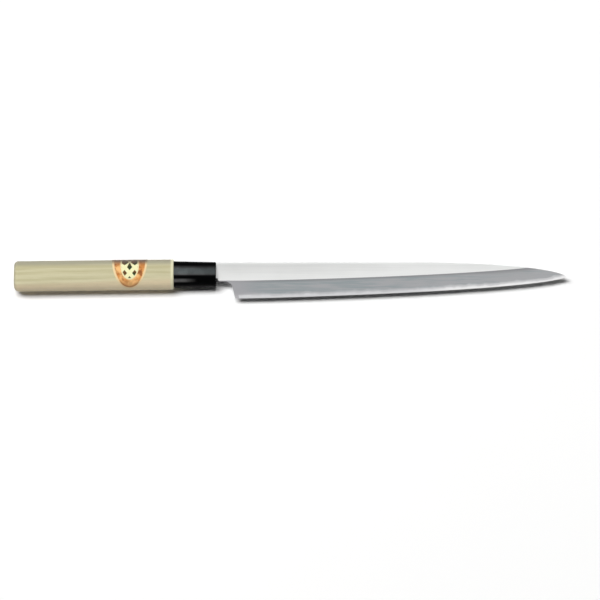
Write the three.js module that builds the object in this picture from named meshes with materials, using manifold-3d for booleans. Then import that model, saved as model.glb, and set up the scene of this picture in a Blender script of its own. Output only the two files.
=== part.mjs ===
// A fuguhiki: a long, thin, single-bevel knife for slicing raw fish, with a D-section wooden grip.
// Millimetres, +Z up. The knife lies on its left side with its bevel up, its tip towards +X and its spine
// towards +Y. Every piece is drawn in the knife's own frame: x runs from the ferrule's mouth to the tip,
// y up from the grip's axis to the spine, and z from the grip's axis to the bevel side. The finished knife
// is then set down so that the origin is on the surface it rests on, under the middle of its box.

import * as THREE from "three";
import { mergeVertices } from "three/addons/utils/BufferGeometryUtils.js";
import Module from "manifold-3d";

const wasm = await Module();
wasm.setup();

// Blade outline
const EDGE_LENGTH = 241.5; // heel corner to tip, along x
const HEEL_OFFSET = 13.9; // ferrule's mouth to the heel corner
const SPINE_HEIGHT = 9.05; // grip's axis up to the straight spine
const HEEL_DEPTH = 26.15; // spine down to the heel corner
const TIP_DEPTH = 10.55; // spine down to the tip
const EDGE_RUN_IN = 23; // pull of the edge's curve at the heel, where it starts level
const EDGE_TIP_PULL = { along: 27.3, fall: 10 }; // pull of the edge's curve at the tip
const SPINE_FALL = 99.5; // length of the stretch where the spine curves down to the tip
const SPINE_RUN_IN = 12; // pull of the spine's curve where it leaves the straight
const SPINE_TIP_PULL = { along: 10.9, rise: 9 }; // pull of the spine's curve at the tip
const NECK_DEPTH = 14.4; // spine down to the underside of the neck
const HEEL_LEAN = 2.75; // how far the back of the heel leans forward from the neck to its corner
const NECK_ROUND = 4; // size of the hollow corner between neck and heel
const NECK_EASE = 2.8; // length over which the neck's underside curves up into the ferrule

// Blade thickness and grinding
const SPINE_THICKNESS = 2.8; // at the ferrule's mouth
const TIP_THICKNESS = 1.9; // what the full thickness would come down to at the tip
const CORE_THICKNESS = 0.72; // hard steel layer on the left face, at the mouth
const CORE_START = 8; // ferrule's mouth to where the hard steel begins
const EDGE_LAND = 0.15; // thickness left at the cutting edge
const BEVEL_AT_HEEL = 13; // width of the ground bevel
const BEVEL_AT_TIP = 11.6;
const HOLLOW_RADIUS = 220; // wheel that hollows the left face
const HOLLOW_RIM = 1.3; // flat border left round the hollow
const HOLLOW_START = 19; // ferrule's mouth to the hollow
const HOLLOW_ROUND = 14; // length over which the hollow's end rounds in

// Tang, a taper burnt into the grip
const TANG_LENGTH = 95;
const TANG_HEIGHT = 7;
const TANG_LIFT = 1.2; // how far the tang enters above the grip's axis
const TANG_TIP_HEIGHT = 5;
const TANG_TIP_THICKNESS = 2;

// Grip sections: rise above and drop below the axis, reach to the round left side and to the ridge on the
// right side, and the ridge's own height
const BUTT = { rise: 10, drop: 12, left: 9.5, right: 10, ridge: -5.8 };
const GRIP_FRONT = { rise: 11.3, drop: 10.6, left: 8.8, right: 9.4, ridge: -2.2 };
const FERRULE_BACK = { rise: 9.95, drop: 9.1, left: 7.8, right: 8.4, ridge: -1.9 };
const FERRULE_MOUTH = { rise: 9.35, drop: 8.5, left: 7.3, right: 7.9, ridge: -1.6 };
const CROWN = { pull: 0.62, ridgePull: 0.36, ridgeReach: 0.94 }; // shape of the curve from top to ridge
const BELLY = { pull: 0.62, ridgePull: 0.5, ridgeReach: 0.84 }; // shape of the curve from ridge to bottom
const BELLY_SINK = 0.2; // how far to the left of the axis the bottom is, as a share of the left reach
const QUARTER_ROUND = 0.5523; // pull that makes a curve a quarter of an ellipse
const GRIP_LENGTH = 116; // butt to the wood's shoulder
const BUTT_ROUND = 3.2;
const SHOULDER_ROUND = 0.9;
const FERRULE_LENGTH = 30.75;
const FERRULE_WALL = 2.3;
const FERRULE_ROUND = 1;

// Label, an oval of paper wrapped over the spine side of the grip
const LABEL_WIDTH = 25.6;
const LABEL_DROP = 20.6; // how far it reaches down both sides from the top of the grip
const LABEL_SETBACK = 31.9; // wood's shoulder to the middle of the label
const LABEL_THICKNESS = 0.12;

// Clearances
const FIT_GAP = 0.1; // between ferrule, wood and paper
const TANG_GAP = 0.3; // round the tang, and between the neck's shoulders and the ferrule
const CUT_MARGIN = 2; // how far a cutting solid reaches past what it cuts

// Smoothness: points to each curve of an outline, and steps to each rounded edge
const OUTLINE_STEPS = 40;
const SECTION_STEPS = 11;
const ROUND_STEPS = 4;
const HOLLOW_STEPS = 8;

const SHOULDER_X = -FERRULE_LENGTH;
const BUTT_X = SHOULDER_X - GRIP_LENGTH;
const TIP = new THREE.Vector2(HEEL_OFFSET + EDGE_LENGTH, SPINE_HEIGHT - TIP_DEPTH);
const HEEL = new THREE.Vector2(HEEL_OFFSET, SPINE_HEIGHT - HEEL_DEPTH);
const WELD_Z = CORE_THICKNESS - SPINE_THICKNESS / 2; // plane where the two steels of the blade meet

// Booleans

function solidOf(geometry) {
  const bare = geometry.clone();
  bare.deleteAttribute("normal");
  bare.deleteAttribute("uv");
  const merged = mergeVertices(bare);
  return new wasm.Manifold(
    new wasm.Mesh({
      numProp: 3,
      vertProperties: merged.attributes.position.array,
      triVerts: Uint32Array.from(merged.index.array),
    }),
  );
}

function geometryOf(solid) {
  const { vertProperties, triVerts } = solid.getMesh();
  return new THREE.BufferGeometry()
    .setAttribute("position", new THREE.BufferAttribute(vertProperties, 3))
    .setIndex(new THREE.BufferAttribute(triVerts, 1));
}

// A closed surface through a row of convex rings of [x, y, z] points. Seen from the end of the row,
// each ring runs anticlockwise.
function loft(rings) {
  const count = rings[0].length;
  const last = (rings.length - 1) * count;
  const triangles = [];
  for (let start = 0; start < last; start += count) {
    for (let i = 0; i < count; i++) {
      const a = start + i;
      const b = start + ((i + 1) % count);
      triangles.push(a, b, a + count, b, b + count, a + count);
    }
  }
  for (let i = 1; i + 1 < count; i++) {
    triangles.push(0, i + 1, i);
    triangles.push(last, last + i, last + i + 1);
  }
  return new THREE.BufferGeometry()
    .setAttribute("position", new THREE.Float32BufferAttribute(rings.flat(2), 3))
    .setIndex(triangles);
}

// Blade

const spineCurve = new THREE.CubicBezierCurve(
  new THREE.Vector2(TIP.x - SPINE_FALL, SPINE_HEIGHT),
  new THREE.Vector2(TIP.x - SPINE_FALL + SPINE_RUN_IN, SPINE_HEIGHT),
  new THREE.Vector2(TIP.x - SPINE_TIP_PULL.along, TIP.y + SPINE_TIP_PULL.rise),
  TIP,
);
const edgeCurve = new THREE.CubicBezierCurve(
  HEEL,
  new THREE.Vector2(HEEL.x + EDGE_RUN_IN, HEEL.y),
  new THREE.Vector2(TIP.x - EDGE_TIP_PULL.along, TIP.y - EDGE_TIP_PULL.fall),
  TIP,
);
const edgePoints = edgeCurve.getPoints(OUTLINE_STEPS);
const spinePoints = [new THREE.Vector2(0, SPINE_HEIGHT), ...spineCurve.getPoints(OUTLINE_STEPS)];

// Height of a row of points, read off at x.
function heightAt(points, x) {
  const next = Math.max(1, points.findIndex((p, i) => p.x >= x || i === points.length - 1));
  const [a, b] = [points[next - 1], points[next]];
  return THREE.MathUtils.mapLinear(x, a.x, b.x, a.y, b.y);
}

// Share of the mouth's thickness that is left at x: the forging is drawn out thinner both ways from there.
function drawnOut(x) {
  const end = x > 0 ? TIP_THICKNESS : TANG_TIP_THICKNESS;
  const length = x > 0 ? TIP.x : TANG_LENGTH;
  return 1 - (1 - end / SPINE_THICKNESS) * (Math.abs(x) / length);
}

// Lower and upper side of the tang at x. It comes down to the grip's axis as it narrows.
function tangSides(x) {
  const share = (x + TANG_LENGTH) / (TANG_LENGTH + TANG_GAP);
  const centre = TANG_LIFT * share;
  const half = THREE.MathUtils.lerp(TANG_TIP_HEIGHT, TANG_HEIGHT, share) / 2;
  return [centre - half, centre + half];
}

// Side view of the whole forging, tang included.
function bladeOutline() {
  const neckY = SPINE_HEIGHT - NECK_DEPTH;
  const neckCorner = new THREE.Vector2(HEEL.x - HEEL_LEAN, neckY);
  const heelLine = HEEL.clone().sub(neckCorner).setLength(NECK_ROUND);
  const [mouthLow, mouthHigh] = tangSides(TANG_GAP);
  const [tipLow, tipHigh] = tangSides(-TANG_LENGTH);
  const shape = new THREE.Shape();
  shape.moveTo(TANG_GAP, SPINE_HEIGHT);
  shape.lineTo(spineCurve.v0.x, spineCurve.v0.y);
  shape.bezierCurveTo(...spineCurve.v1, ...spineCurve.v2, ...spineCurve.v3);
  shape.bezierCurveTo(...edgeCurve.v2, ...edgeCurve.v1, ...edgeCurve.v0);
  shape.lineTo(neckCorner.x + heelLine.x, neckCorner.y + heelLine.y);
  shape.quadraticCurveTo(...neckCorner, neckCorner.x - NECK_ROUND, neckY);
  shape.lineTo(TANG_GAP + NECK_EASE, neckY);
  shape.quadraticCurveTo(TANG_GAP, neckY, TANG_GAP, mouthLow);
  shape.lineTo(-TANG_LENGTH, tipLow);
  shape.lineTo(-TANG_LENGTH, tipHigh);
  shape.lineTo(TANG_GAP, mouthHigh);
  return shape;
}

// What the bevel grinding takes off: a wedge over the edge whose underside is the bevel.
// It starts at the heel's back and is carried on past the tip.
function bevelGrinding() {
  const start = new THREE.Vector2(HEEL.x - HEEL_LEAN, HEEL.y);
  const tipSlope = EDGE_TIP_PULL.fall / EDGE_TIP_PULL.along;
  const end = new THREE.Vector2(TIP.x + CUT_MARGIN, TIP.y + CUT_MARGIN * tipSlope);
  return loft(
    [start, ...edgePoints, end].map(({ x, y }) => {
      const width = THREE.MathUtils.mapLinear(x, HEEL.x, TIP.x, BEVEL_AT_HEEL, BEVEL_AT_TIP);
      const slope = (SPINE_THICKNESS - EDGE_LAND) / width;
      const low = [y - CUT_MARGIN, EDGE_LAND - CORE_THICKNESS - CUT_MARGIN * slope];
      const high = [y + width + CUT_MARGIN, SPINE_THICKNESS - CORE_THICKNESS + CUT_MARGIN * slope];
      return [
        [x, low[0], low[1]],
        [x, high[0], high[1]],
        [x, low[0], high[1]],
      ];
    }),
  );
}

// What the wheel takes off the left face: a shallow trough inside a flat rim, deepest where the blade is
// wide.
function hollowGrinding() {
  const back = -CORE_THICKNESS;
  const rings = [];
  for (let step = 0; step <= OUTLINE_STEPS; step++) {
    const x = THREE.MathUtils.lerp(HOLLOW_START, TIP.x, step / OUTLINE_STEPS);
    const low = heightAt(edgePoints, x) + HOLLOW_RIM;
    const high = heightAt(spinePoints, x) - HOLLOW_RIM;
    const toEnd = Math.max(0, 1 - (x - HOLLOW_START) / HOLLOW_ROUND);
    const halfWidth = ((high - low) / 2) * Math.sqrt(1 - toEnd * toEnd);
    if (halfWidth <= HOLLOW_RIM) continue;
    const middle = (low + high) / 2;
    const ring = [];
    for (let i = 0; i <= HOLLOW_STEPS; i++) {
      const across = THREE.MathUtils.lerp(halfWidth, -halfWidth, i / HOLLOW_STEPS);
      const depth = (halfWidth ** 2 - across ** 2) / (2 * HOLLOW_RADIUS);
      ring.push([x, middle + across, back + depth]);
    }
    ring.push([x, middle - halfWidth, back - CUT_MARGIN], [x, middle + halfWidth, back - CUT_MARGIN]);
    rings.push(ring);
  }
  return loft(rings);
}

// Everything on the left of the weld, from where the hard steel begins to past the tip.
function coreSide() {
  const length = TIP.x - CORE_START + CUT_MARGIN;
  const height = 2 * (HEEL_DEPTH + SPINE_HEIGHT);
  const depth = CORE_THICKNESS + CUT_MARGIN;
  return new THREE.BoxGeometry(length, height, depth).translate(CORE_START + length / 2, 0, -depth / 2);
}

// Soft iron body and hard edge steel, with the weld between them on z = 0.
function bladeSteels() {
  const plate = new THREE.ExtrudeGeometry(bladeOutline(), {
    depth: SPINE_THICKNESS,
    curveSegments: OUTLINE_STEPS,
    bevelEnabled: false,
  }).translate(0, 0, -CORE_THICKNESS);
  const ground = solidOf(plate).subtract(solidOf(bevelGrinding())).subtract(solidOf(hollowGrinding()));
  const core = solidOf(coreSide());
  return [ground.subtract(core), ground.intersect(core)].map((steel) => {
    const geometry = geometryOf(steel);
    const position = geometry.attributes.position;
    for (let i = 0; i < position.count; i++) {
      position.setZ(i, position.getZ(i) * drawnOut(position.getX(i)));
    }
    return geometry;
  });
}

// Grip

// D-section as points with y in x and z in y, from the top round by the ridge, the bottom and the round
// side. A positive grow makes it larger.
function dSection(size, grow = 0) {
  const { ridge } = size;
  const top = size.rise + grow;
  const bottom = -size.drop - grow;
  const right = size.right + grow;
  const left = -size.left - grow;
  const middle = (top + bottom) / 2;
  const low = left * BELLY_SINK;
  const between = THREE.MathUtils.lerp;
  const path = new THREE.Path();
  path.moveTo(top, 0);
  path.bezierCurveTo(
    top, right * CROWN.pull,
    between(ridge, top, CROWN.ridgePull), right * CROWN.ridgeReach,
    ridge, right,
  );
  path.bezierCurveTo(
    between(ridge, bottom, BELLY.ridgePull), right * BELLY.ridgeReach,
    bottom, between(low, right, BELLY.pull),
    bottom, low,
  );
  path.bezierCurveTo(
    bottom, between(low, left, QUARTER_ROUND),
    between(middle, bottom, QUARTER_ROUND), left,
    middle, left,
  );
  path.bezierCurveTo(
    between(middle, top, QUARTER_ROUND), left,
    top, left * QUARTER_ROUND,
    top, 0,
  );
  return path.getPoints(SECTION_STEPS).slice(0, -1);
}

function sectionBetween(a, b, share) {
  const between = (key) => [key, THREE.MathUtils.lerp(a[key], b[key], share)];
  return Object.fromEntries(Object.keys(a).map(between));
}

function woodRing(x, grow = 0) {
  const section = sectionBetween(GRIP_FRONT, BUTT, (SHOULDER_X - x) / GRIP_LENGTH);
  return dSection(section, grow).map(({ x: y, y: z }) => [x, y, z]);
}

function ferruleRing(x, grow = 0) {
  const section = sectionBetween(FERRULE_MOUTH, FERRULE_BACK, -x / FERRULE_LENGTH);
  return dSection(section, grow).map(({ x: y, y: z }) => [x, y, z]);
}

// Rings of a rounded end, from its flat face at x inwards along the piece.
function roundedEnd(ring, x, inwards, radius) {
  return Array.from({ length: ROUND_STEPS + 1 }, (_, step) => {
    const angle = ((Math.PI / 2) * step) / ROUND_STEPS;
    return ring(x + inwards * radius * (1 - Math.cos(angle)), -radius * (1 - Math.sin(angle)));
  });
}

function tangHoleRing(x) {
  const [low, high] = tangSides(x);
  const bottom = low - TANG_GAP;
  const top = high + TANG_GAP;
  const left = WELD_Z - CORE_THICKNESS * drawnOut(x) - TANG_GAP;
  const right = WELD_Z + (SPINE_THICKNESS - CORE_THICKNESS) * drawnOut(x) + TANG_GAP;
  return [
    [x, top, left],
    [x, top, right],
    [x, bottom, right],
    [x, bottom, left],
  ];
}

// Wooden grip: a rounded butt, a shoulder, and a tenon that fills the ferrule, with a hole for the tang.
function grip() {
  const tenon = -FERRULE_WALL - FIT_GAP;
  const body = loft([
    ...roundedEnd(woodRing, BUTT_X, 1, BUTT_ROUND),
    ...roundedEnd(woodRing, SHOULDER_X, -1, SHOULDER_ROUND).reverse(),
    ferruleRing(SHOULDER_X, tenon),
    ferruleRing(0, tenon),
  ]);
  const tangHole = loft([tangHoleRing(-TANG_LENGTH - TANG_GAP), tangHoleRing(CUT_MARGIN)]);
  return geometryOf(solidOf(body).subtract(solidOf(tangHole)));
}

function ferrule() {
  const body = loft([
    ferruleRing(SHOULDER_X + FIT_GAP),
    ...roundedEnd(ferruleRing, 0, -1, FERRULE_ROUND).reverse(),
  ]);
  const bore = loft([
    ferruleRing(SHOULDER_X - CUT_MARGIN, -FERRULE_WALL),
    ferruleRing(CUT_MARGIN, -FERRULE_WALL),
  ]);
  return geometryOf(solidOf(body).subtract(solidOf(bore)));
}

// Oval of paper folded over the top of the grip: a skin over the wood, cut to half an oval in side view.
function label() {
  const middle = SHOULDER_X - LABEL_SETBACK;
  const ends = [middle - LABEL_WIDTH, middle + LABEL_WIDTH];
  const outside = loft(ends.map((x) => woodRing(x, FIT_GAP + LABEL_THICKNESS)));
  const inside = loft(ends.map((x) => woodRing(x, FIT_GAP)));
  const top = sectionBetween(GRIP_FRONT, BUTT, LABEL_SETBACK / GRIP_LENGTH).rise;
  const oval = new THREE.Shape().absellipse(middle, top, LABEL_WIDTH / 2, LABEL_DROP, 0, 2 * Math.PI);
  const depth = 2 * (BUTT.left + BUTT.right);
  const cutter = new THREE.ExtrudeGeometry(oval, {
    depth,
    curveSegments: OUTLINE_STEPS,
    bevelEnabled: false,
  }).translate(0, 0, -depth / 2);
  return geometryOf(solidOf(outside).subtract(solidOf(inside)).intersect(solidOf(cutter)));
}

// Assembly

function piece(name, geometry, color, roughness, metalness) {
  geometry.computeVertexNormals();
  const mesh = new THREE.Mesh(geometry, new THREE.MeshStandardMaterial({ color, roughness, metalness }));
  mesh.name = name;
  return mesh;
}

const [bodySteel, edgeSteel] = bladeSteels();
const blade = new THREE.Group();
blade.position.z = WELD_Z;
blade.add(piece("blade_iron", bodySteel, 0xd4d5d3, 0.35, 1));
blade.add(piece("edge_steel", edgeSteel, 0xe4e6ea, 0.2, 1));

const knife = new THREE.Group();
knife.add(blade);
knife.add(piece("grip", grip(), 0xccc4a0, 0.65, 0));
knife.add(piece("ferrule", ferrule(), 0x101113, 0.25, 0));
knife.add(piece("label", label(), 0xe5a862, 0.6, 0));

const box = new THREE.Box3().setFromObject(knife, true);
const middle = box.getCenter(new THREE.Vector3());
knife.children.forEach((child) => child.position.sub(new THREE.Vector3(middle.x, middle.y, box.min.z)));

export default knife;
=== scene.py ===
# %% [markdown]
# # A fuguhiki in Blender
#
# A fuguhiki is the thin knife that slices raw fish so fine that the plate shows through. Five pieces make
# it: a soft-iron body with its tang, a layer of hard steel welded to its left face, a black horn ferrule,
# a wooden grip and a paper label. Each is modelled here the way it could be made by hand, and then
# finished.
#
# The CAD model comes in first as a fixed frame, in metres. It says where every piece sits and how large it
# is, so nothing has to be fitted by eye later.

# %% Load the frame
import math

import bmesh
import bpy
import numpy as np
from mathutils import Matrix, Vector


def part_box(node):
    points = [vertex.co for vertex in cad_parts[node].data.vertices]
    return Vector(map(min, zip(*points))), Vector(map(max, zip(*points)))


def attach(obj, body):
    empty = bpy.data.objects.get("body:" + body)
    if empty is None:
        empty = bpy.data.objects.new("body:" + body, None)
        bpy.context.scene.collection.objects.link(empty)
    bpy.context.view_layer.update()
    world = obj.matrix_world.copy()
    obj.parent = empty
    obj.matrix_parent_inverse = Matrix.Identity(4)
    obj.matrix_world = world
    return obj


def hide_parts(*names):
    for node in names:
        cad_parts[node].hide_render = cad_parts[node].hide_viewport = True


MM = 0.001

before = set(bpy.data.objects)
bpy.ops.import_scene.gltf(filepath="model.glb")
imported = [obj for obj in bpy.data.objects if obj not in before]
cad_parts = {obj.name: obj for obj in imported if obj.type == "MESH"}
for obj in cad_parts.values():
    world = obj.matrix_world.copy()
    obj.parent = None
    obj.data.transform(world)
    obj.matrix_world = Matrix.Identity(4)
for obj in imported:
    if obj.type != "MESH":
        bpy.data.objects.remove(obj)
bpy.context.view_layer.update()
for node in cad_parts:
    low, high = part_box(node)
    print(node, "is", [round(side / MM, 1) for side in high - low], "mm")

# %% [markdown]
# ## The knife's own zero point
#
# Millimetres are easier to think in than metres, and a knife is easier to draw from a point on itself. So
# each piece is drawn in millimetres from the middle of the ferrule's mouth: x runs to the tip, y to the
# spine and z to the bevel side. When it is done, one step scales it to metres, moves it to its place and
# applies both, so that the finished object sits at the origin with its place in its mesh.
#
# The zero point comes from the frame: the ferrule ends there, the straight spine lies a known height above
# it, and the blade's thickness is halved by it. The main lengths are read from the frame too.

# %% Zero point and the step that settles a piece
SPINE_HEIGHT = 9.05  # grip's axis up to the straight spine

blade_low, blade_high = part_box("blade_iron")
ZERO = Vector((
    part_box("ferrule")[1].x,
    blade_high.y - SPINE_HEIGHT * MM,
    (blade_low.z + blade_high.z) / 2,
))


def corners(node):
    """A node's lowest and highest corner, in millimetres from the zero point."""
    return [[round(side, 2) for side in (corner - ZERO) / MM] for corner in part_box(node)]


def take(piece):
    """Makes a piece the one selected and active object."""
    bpy.ops.object.select_all(action="DESELECT")
    piece.select_set(True)
    bpy.context.view_layer.objects.active = piece


def apply_place():
    """Moves the active object's place, turn and scale into its mesh."""
    bpy.ops.object.transform_apply(location=True, rotation=True, scale=True)


def settle(piece, name):
    """Takes a piece from the knife's millimetres to its place in the frame."""
    take(piece)
    piece.name = name
    piece.data.name = name
    piece.scale = (MM, MM, MM)
    piece.location = ZERO
    apply_place()
    print(name, "has", len(piece.data.polygons), "faces")


print("zero point at", [round(side / MM, 1) for side in ZERO], "mm")

# %% [markdown]
# ## Camera
#
# The photograph looks straight down on the knife, from far enough away that nothing bends. A camera with
# no rotation already looks down with +Y at the top. The edge's length in pixels and in millimetres gives
# the scale, and the ferrule's mouth gives the place.

# %% Camera above the knife
IMAGE_SIDE = 600  # pixels
MOUTH_PIXEL = (216.1, 275.0)  # the zero point in the photograph
EDGE_PIXELS = 332.27  # heel to tip in the photograph
EDGE_LENGTH = 241.5  # the same in millimetres
CAMERA_HEIGHT = 4.0  # metres above the knife's axis

pixel = EDGE_LENGTH / EDGE_PIXELS * MM
bpy.ops.object.camera_add(
    location=(
        ZERO.x + (IMAGE_SIDE / 2 - MOUTH_PIXEL[0]) * pixel,
        ZERO.y + (MOUTH_PIXEL[1] - IMAGE_SIDE / 2) * pixel,
        ZERO.z + CAMERA_HEIGHT,
    ),
    rotation=(0, 0, 0),
)
camera = bpy.context.object
camera.data.lens = camera.data.sensor_width * CAMERA_HEIGHT / (IMAGE_SIDE * pixel)
bpy.context.scene.camera = camera
print("one pixel is", round(pixel / MM, 4), "mm and the lens", round(camera.data.lens, 1), "mm")

# %% [markdown]
# ## Selecting in code
#
# By hand, edges and vertices are clicked. In a script they are picked by where they are. One helper
# selects the edges that pass a test. Another lays a ring of vertices on a new outline, in order round the
# ring's middle.

# %% Pick edges, and lay a ring on an outline
START_ANGLE = 0.01  # a direction that no vertex of a ring lies in
AXIS = (0, 0)  # the grip's axis, in y and z


def pick_edges(test):
    """Selects, in edit mode, each edge that passes a test."""
    bpy.ops.mesh.select_mode(type="EDGE")
    bpy.ops.mesh.select_all(action="DESELECT")
    mesh = bmesh.from_edit_mesh(bpy.context.object.data)
    for edge in mesh.edges:
        if test(edge):
            edge.select_set(True)
    mesh.select_flush_mode()
    bmesh.update_edit_mesh(bpy.context.object.data)


def round_order(points, middle):
    """The points' indices in order of their direction from a middle in the yz plane."""
    angles = [math.atan2(z - middle[1], y - middle[0]) - START_ANGLE for y, z in points]
    return sorted(range(len(points)), key=lambda i: angles[i] % math.tau)


def lay_ring(x, outline, middle=AXIS, old_middle=AXIS):
    """Lays the selected ring of vertices on an outline of (y, z) points at x."""
    mesh = bmesh.from_edit_mesh(bpy.context.object.data)
    ring = [vertex for vertex in mesh.verts if vertex.select]
    old = round_order([(vertex.co.y, vertex.co.z) for vertex in ring], old_middle)
    for i, j in zip(old, round_order(outline, middle)):
        ring[i].co = (x, *outline[j])
    bmesh.update_edit_mesh(bpy.context.object.data)


print("helpers for edges and rings ready")

# %% [markdown]
# With an extrusion between two rings, such rings make whole solids: a lathe for sections that are not
# round. The solid starts as a filled circle that stands across the knife. When the last ring is laid, its
# faces are turned outwards, because an extrusion in the wrong direction leaves them inside out.

# %% Loft a solid from rings
def open_shell():
    """Opens the active piece in edit mode with all of it selected."""
    bpy.ops.object.mode_set(mode="EDIT")
    bpy.ops.mesh.select_all(action="SELECT")


def start_ring(count, fill):
    """Adds a circle that stands across the knife, and opens it in edit mode with all of it selected."""
    bpy.ops.object.select_all(action="DESELECT")
    bpy.ops.mesh.primitive_circle_add(vertices=count, radius=1, fill_type=fill, rotation=(0, math.pi / 2, 0))
    apply_place()
    open_shell()
    return bpy.context.object


def close_shell():
    """Turns all faces of the piece in edit mode outwards, and goes back to object mode."""
    bpy.ops.mesh.select_all(action="SELECT")
    bpy.ops.mesh.normals_make_consistent(inside=False)
    bpy.ops.object.mode_set(mode="OBJECT")


def loft(rings):
    """A solid through rings, each given as its x, its outline and its middle."""
    solid = start_ring(len(rings[0][1]), "NGON")
    lay_ring(*rings[0])
    for before, ring in zip(rings, rings[1:]):
        bpy.ops.mesh.extrude_region_move()
        lay_ring(*ring, before[2])
    close_shell()
    return solid


print("loft ready")

# %% [markdown]
# ## The grip's section
#
# Cut across, the grip is a D: round on the left, with a low ridge on the right where the fingers of a
# right hand close. The ridge runs downhill from the ferrule to the butt, so the section is not the same at
# both ends. Four Bezier curves make it: two flatter curves that meet in the ridge, and two quarters of an
# ellipse on the round side. The same function draws the ferrule, the tenon inside it and the label, so
# they all fit each other.

# %% Points of a curve
QUARTER_POINTS = 28  # points to each of the section's four curves


def mix(a, b, share):
    """The number part of the way from a to b."""
    return a + (b - a) * share


def bezier(a, b, c, d, steps=QUARTER_POINTS):
    """Points of a cubic curve, without its last one."""
    t = np.linspace(0, 1, steps, endpoint=False)[:, None]
    a, b, c, d = (np.array(point, float) for point in (a, b, c, d))
    return a * (1 - t) ** 3 + 3 * b * t * (1 - t) ** 2 + 3 * c * t**2 * (1 - t) + d * t**3


print("a curve has", QUARTER_POINTS, "points")

# %% D-section
BUTT = dict(rise=10, drop=12, left=9.5, right=10, ridge=-5.8)
GRIP_FRONT = dict(rise=11.3, drop=10.6, left=8.8, right=9.4, ridge=-2.2)
FERRULE_BACK = dict(rise=9.95, drop=9.1, left=7.8, right=8.4, ridge=-1.9)
FERRULE_MOUTH = dict(rise=9.35, drop=8.5, left=7.3, right=7.9, ridge=-1.6)
CROWN = dict(pull=0.62, ridge_pull=0.36, ridge_reach=0.94)  # curve from the top to the ridge
BELLY = dict(pull=0.62, ridge_pull=0.5, ridge_reach=0.84)  # curve from the ridge to the bottom
BELLY_SINK = 0.2  # how far to the left of the axis the bottom is, as a share of the left reach
QUARTER_ROUND = 0.5523  # pull that makes a curve a quarter of an ellipse
RIDGE_REACH = 3  # points to each side of the ridge that sandpaper eases
RIDGE_PASSES = 6


def d_section(size, grow=0):
    """Outline of (y, z) points from the top round by the ridge. A positive grow makes it larger."""
    top, bottom = size["rise"] + grow, -size["drop"] - grow
    right, left = size["right"] + grow, -size["left"] - grow
    ridge, middle, low = size["ridge"], (top + bottom) / 2, left * BELLY_SINK
    crown_end = (mix(ridge, top, CROWN["ridge_pull"]), right * CROWN["ridge_reach"])
    belly_start = (mix(ridge, bottom, BELLY["ridge_pull"]), right * BELLY["ridge_reach"])
    belly_end = (bottom, mix(low, right, BELLY["pull"]))
    knots = [(top, 0), (ridge, right), (bottom, low), (middle, left), (top, 0)]
    handles = [
        ((top, right * CROWN["pull"]), crown_end),
        (belly_start, belly_end),
        ((bottom, mix(low, left, QUARTER_ROUND)), (mix(middle, bottom, QUARTER_ROUND), left)),
        ((mix(middle, top, QUARTER_ROUND), left), (top, left * QUARTER_ROUND)),
    ]
    outline = np.vstack([bezier(start, *pull, end) for start, pull, end in zip(knots, handles, knots[1:])])
    eased = np.arange(QUARTER_POINTS - RIDGE_REACH, QUARTER_POINTS + RIDGE_REACH + 1)
    for _ in range(RIDGE_PASSES):
        outline[eased] = (outline[eased - 1] + outline[eased + 1]) / 2
    return outline


print("a section has", len(d_section(BUTT)), "points")

# %% [markdown]
# ## Grip
#
# The grip is planed from one stick of magnolia. The butt's section becomes the stick, one extrusion after
# another. A bevel would fold over itself where the ridge is tight, so both ends are rounded the way a
# lathe does it: ring by ring, each a little further on and a little larger or smaller. Two more rings
# follow at the shoulder: one on the spot, drawn in to the tenon's size, and one forward to fill the
# ferrule.

# %% Grip: stick, rounded ends and tenon
FIT_GAP = 0.1  # clearance between grip and ferrule
FERRULE_WALL = 2.3
TENON_RECESS = 0.4  # how far the tenon's end lies behind the ferrule's mouth
BUTT_ROUND = 3.2
SHOULDER_ROUND = 0.9
END_RINGS = 9  # rings that round each end
BUTT_X = corners("grip")[0][0]
FERRULE_X = corners("ferrule")[0][0]
SHOULDER_X = FERRULE_X - FIT_GAP
GRIP_LENGTH = SHOULDER_X - BUTT_X


def grip_section(x):
    """The grip's section at x, between the butt's and the shoulder's."""
    share = (x - BUTT_X) / GRIP_LENGTH
    return {side: mix(BUTT[side], GRIP_FRONT[side], share) for side in BUTT}


def rounded_end(x, inward, radius):
    """Places and growths of the rings that round an end, from its face inwards."""
    turns = np.linspace(0, math.pi / 2, END_RINGS)
    return [(x + inward * radius * (1 - math.cos(turn)), radius * (math.sin(turn) - 1)) for turn in turns]


stick = rounded_end(BUTT_X, 1, BUTT_ROUND) + rounded_end(SHOULDER_X, -1, SHOULDER_ROUND)[::-1]
rings = [(x, d_section(grip_section(x), grow), AXIS) for x, grow in stick]
for x, size in ((SHOULDER_X, FERRULE_BACK), (-TENON_RECESS, FERRULE_MOUTH)):
    rings.append((x, d_section(size, -FERRULE_WALL - FIT_GAP), AXIS))
grip = loft(rings)
print("grip from", BUTT_X, "to", -TENON_RECESS, "mm with", len(grip.data.polygons), "faces")

# %% [markdown]
# The tang is burned into a hole that tapers towards the butt. A Boolean modifier takes the hole out: a
# tapered bar is the cutter, and it is deleted once the modifier has been applied. The same helper grinds
# the blade later on.

# %% Hole for the tang
TANG_LENGTH = -corners("blade_iron")[0][0]
TANG_GAP = 0.3  # clearance all round the tang
TANG_MOUTH = dict(low=-2.3, high=4.7, back=-1.4, front=1.4)
TANG_END = dict(low=-2.5, high=2.5, back=-1.2, front=0.8)
CUT_MARGIN = 2  # how far a cutter reaches past what it cuts
SOFT_ANGLE = math.radians(35)  # edges flatter than this are shaded smooth


def rectangle(size, grow):
    """Four corners in the yz plane."""
    low, high = size["low"] - grow, size["high"] + grow
    back, front = size["back"] - grow, size["front"] + grow
    return [(low, back), (high, back), (high, front), (low, front)]


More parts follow.
